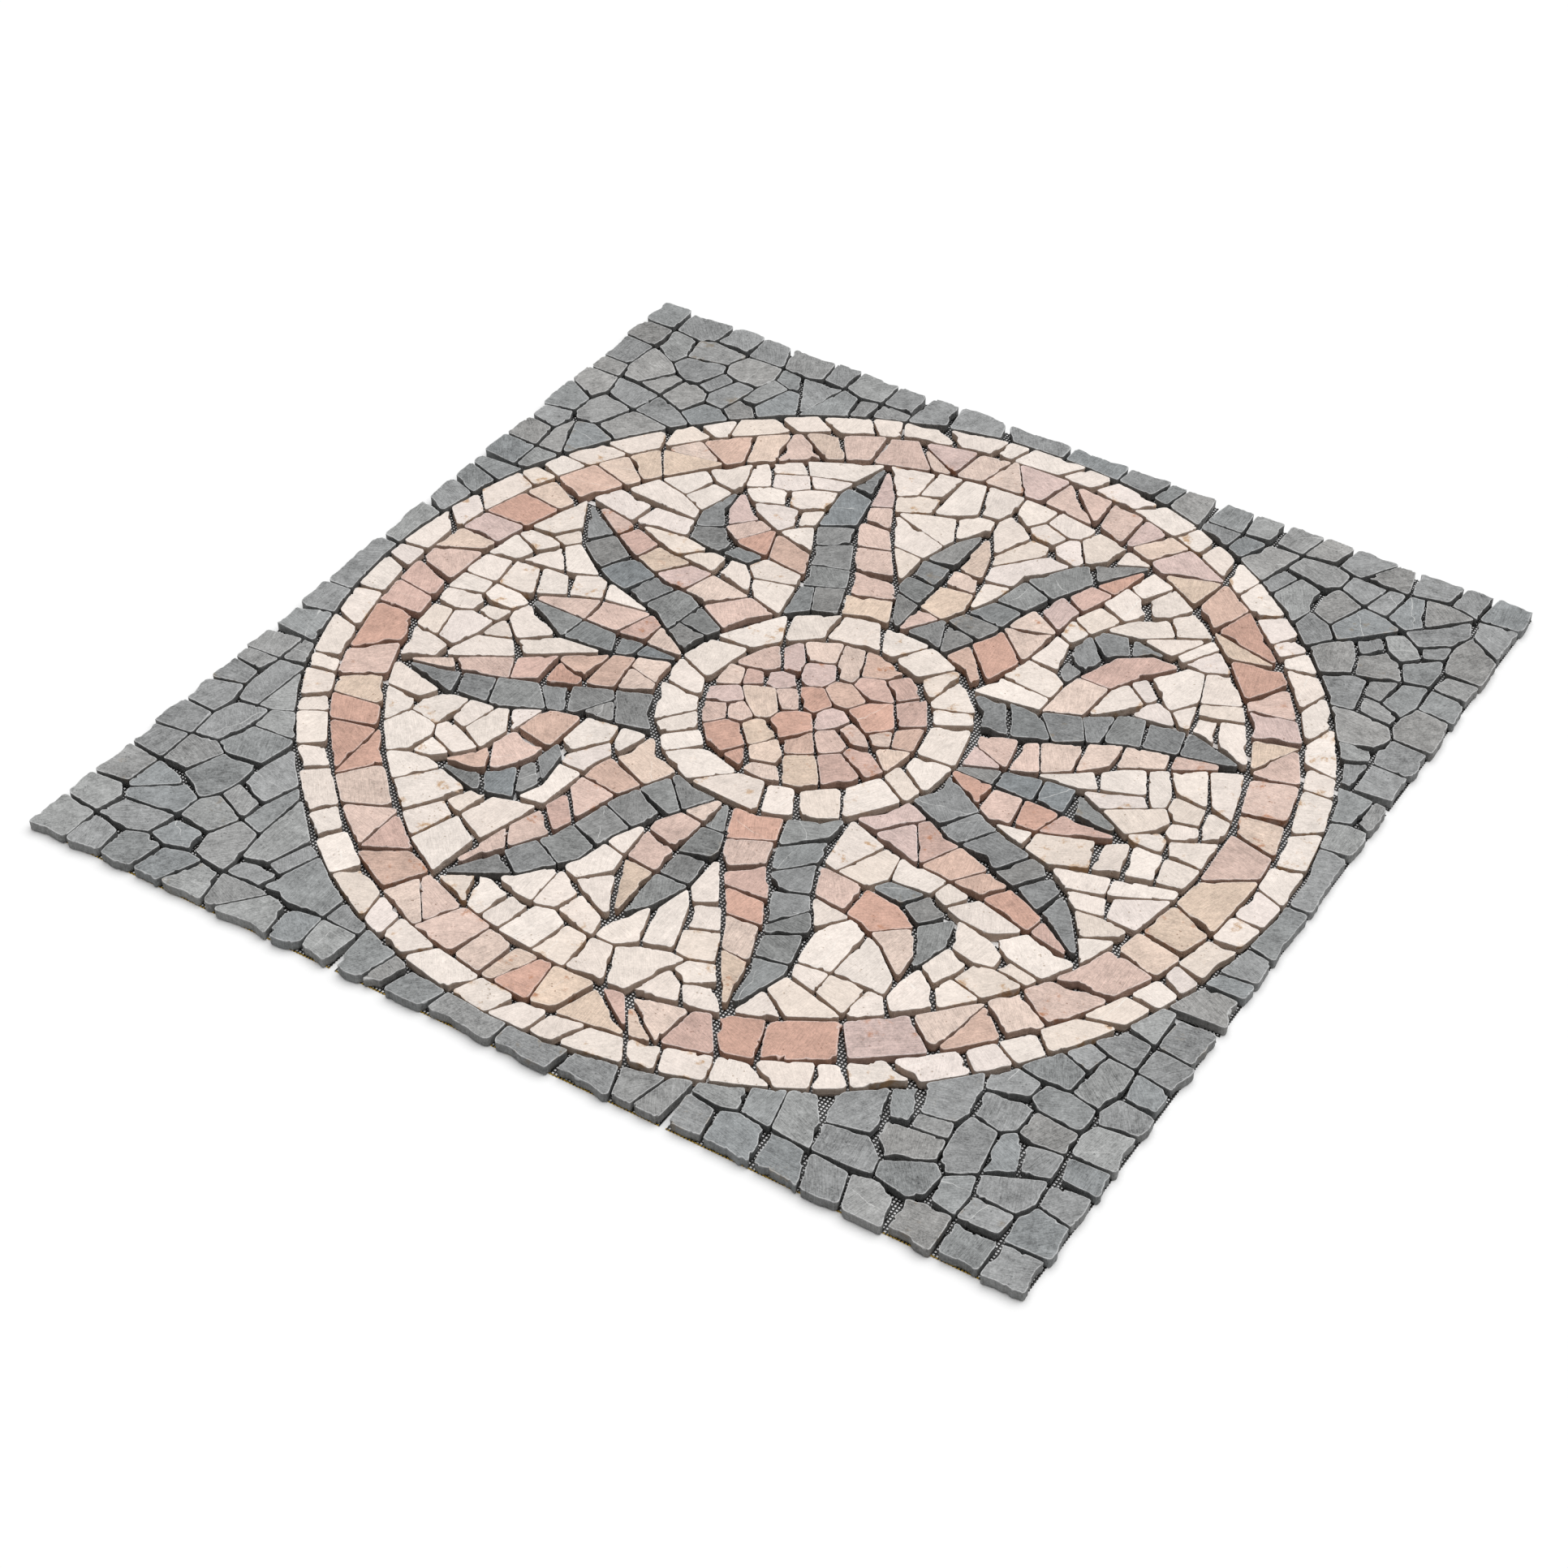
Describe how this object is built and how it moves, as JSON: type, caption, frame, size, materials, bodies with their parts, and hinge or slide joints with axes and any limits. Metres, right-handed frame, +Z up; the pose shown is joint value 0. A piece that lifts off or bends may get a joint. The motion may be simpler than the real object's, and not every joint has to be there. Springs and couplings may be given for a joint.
{
  "type": "mosaic panel",
  "caption": "Square floor or wall panel of broken marble on glass-fibre mesh, with a sixteen-ray sun in rings of cream and rose on a grey ground.",
  "frame": {"origin": "middle of the underside, where the panel lies on its bed", "axes": "+X along the front edge to the right, +Y to the back edge, +Z up out of the face of the stones"},
  "size_m": [0.9, 0.9, 0.01],
  "materials": {
    "grey_marble": "tumbled, matt, with fine scratches and thin white veins",
    "cream_marble": "tumbled, matt, with pits and rusty specks",
    "rose_marble": "tumbled, matt, beige pink to terracotta",
    "glass_fibre_mesh": "open mesh of black coated yarn"
  },
  "bodies": {
    "root": {"cream_field_1": "cream_marble", "cream_field_2": "cream_marble", "cream_field_3": "cream_marble", "cream_field_4": "cream_marble", "cream_field_5": "cream_marble", "cream_field_6": "cream_marble", "cream_field_7": "cream_marble", "cream_field_8": "cream_marble", "grey_surround_back_left": "grey_marble", "grey_surround_back_right": "grey_marble", "grey_surround_front_left": "grey_marble", "grey_surround_front_right": "grey_marble", "inner_cream_ring": "cream_marble", "large_ray_1_grey_half": "grey_marble", "large_ray_1_rose_half": "rose_marble", "large_ray_2_grey_half": "grey_marble", "large_ray_2_rose_half": "rose_marble", "large_ray_3_grey_half": "grey_marble", "large_ray_3_rose_half": "rose_marble", "large_ray_4_grey_half": "grey_marble", "large_ray_4_rose_half": "rose_marble", "large_ray_5_grey_half": "grey_marble", "large_ray_5_rose_half": "rose_marble", "large_ray_6_grey_half": "grey_marble", "large_ray_6_rose_half": "rose_marble", "large_ray_7_grey_half": "grey_marble", "large_ray_7_rose_half": "rose_marble", "large_ray_8_grey_half": "grey_marble", "large_ray_8_rose_half": "rose_marble", "mesh_sheet_back_left": "glass_fibre_mesh", "mesh_sheet_back_middle": "glass_fibre_mesh", "mesh_sheet_back_right": "glass_fibre_mesh", "mesh_sheet_front_left": "glass_fibre_mesh", "mesh_sheet_front_middle": "glass_fibre_mesh", "mesh_sheet_front_right": "glass_fibre_mesh", "mesh_sheet_middle_left": "glass_fibre_mesh", "mesh_sheet_middle_middle": "glass_fibre_mesh", "mesh_sheet_middle_right": "glass_fibre_mesh", "outer_cream_ring": "cream_marble", "rose_centre_disc": "rose_marble", "rose_ring": "rose_marble", "small_ray_1_grey_half": "grey_marble", "small_ray_1_rose_half": "rose_marble", "small_ray_2_grey_half": "grey_marble", "small_ray_2_rose_half": "rose_marble", "small_ray_3_grey_half": "grey_marble", "small_ray_3_rose_half": "rose_marble", "small_ray_4_grey_half": "grey_marble", "small_ray_4_rose_half": "rose_marble", "small_ray_5_grey_half": "grey_marble", "small_ray_5_rose_half": "rose_marble", "small_ray_6_grey_half": "grey_marble", "small_ray_6_rose_half": "rose_marble", "small_ray_7_grey_half": "grey_marble", "small_ray_7_rose_half": "rose_marble", "small_ray_8_grey_half": "grey_marble", "small_ray_8_rose_half": "rose_marble"}
  },
  "joints": []
}
